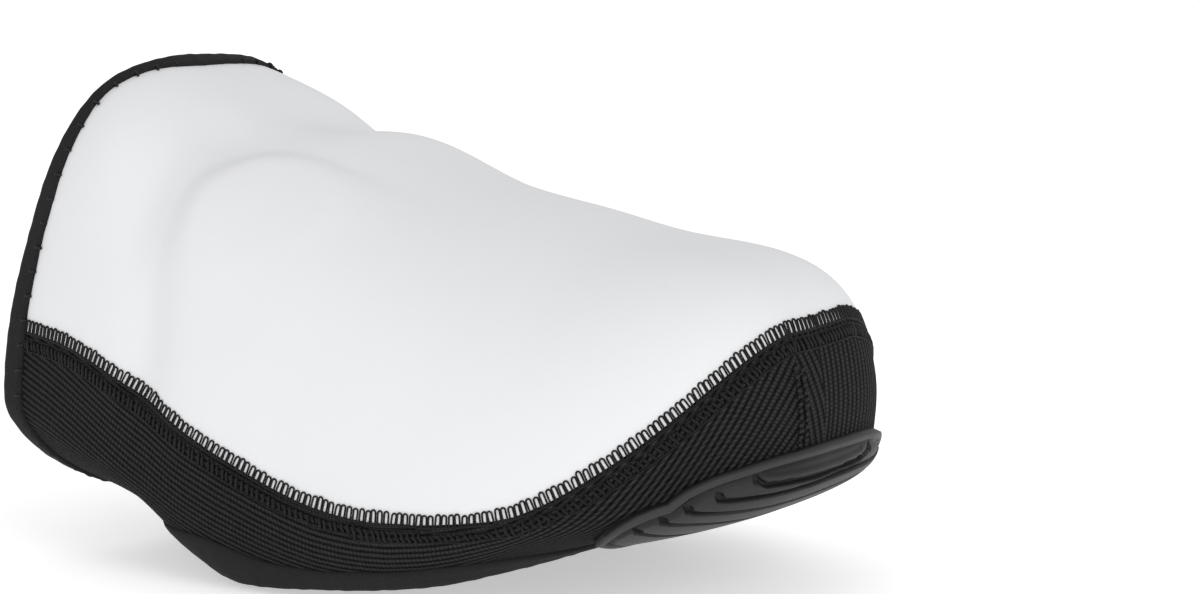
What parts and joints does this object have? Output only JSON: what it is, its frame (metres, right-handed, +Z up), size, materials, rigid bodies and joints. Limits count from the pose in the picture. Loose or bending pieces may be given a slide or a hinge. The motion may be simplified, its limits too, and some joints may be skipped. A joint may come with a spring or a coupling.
{
  "type": "cycling toe cover",
  "caption": "Soft cover pulled over the front of a cycling shoe: insulating upper, stretch side band turned under the sole, taped ankle and cleat openings, rubber toe pad.",
  "frame": {"origin": "middle of the cover's box in plan, on the surface that it stands on", "axes": "+X towards the toe, +Y to the inner (big toe) side, +Z up; it stands on the tape of its cleat opening"},
  "size_m": [0.1642, 0.0992, 0.0948],
  "materials": {
    "upper": "smooth satin white neoprene laminate",
    "band": "matt black stretch knit with a fine rib",
    "tape": "matt charcoal elastic binding tape",
    "rubber": "matt dark grey moulded rubber"
  },
  "bodies": {
    "root": {"upper_shell": "upper", "side_band": "band", "opening_binding": "tape", "cleat_binding": "tape", "toe_pad": "rubber"}
  },
  "joints": []
}
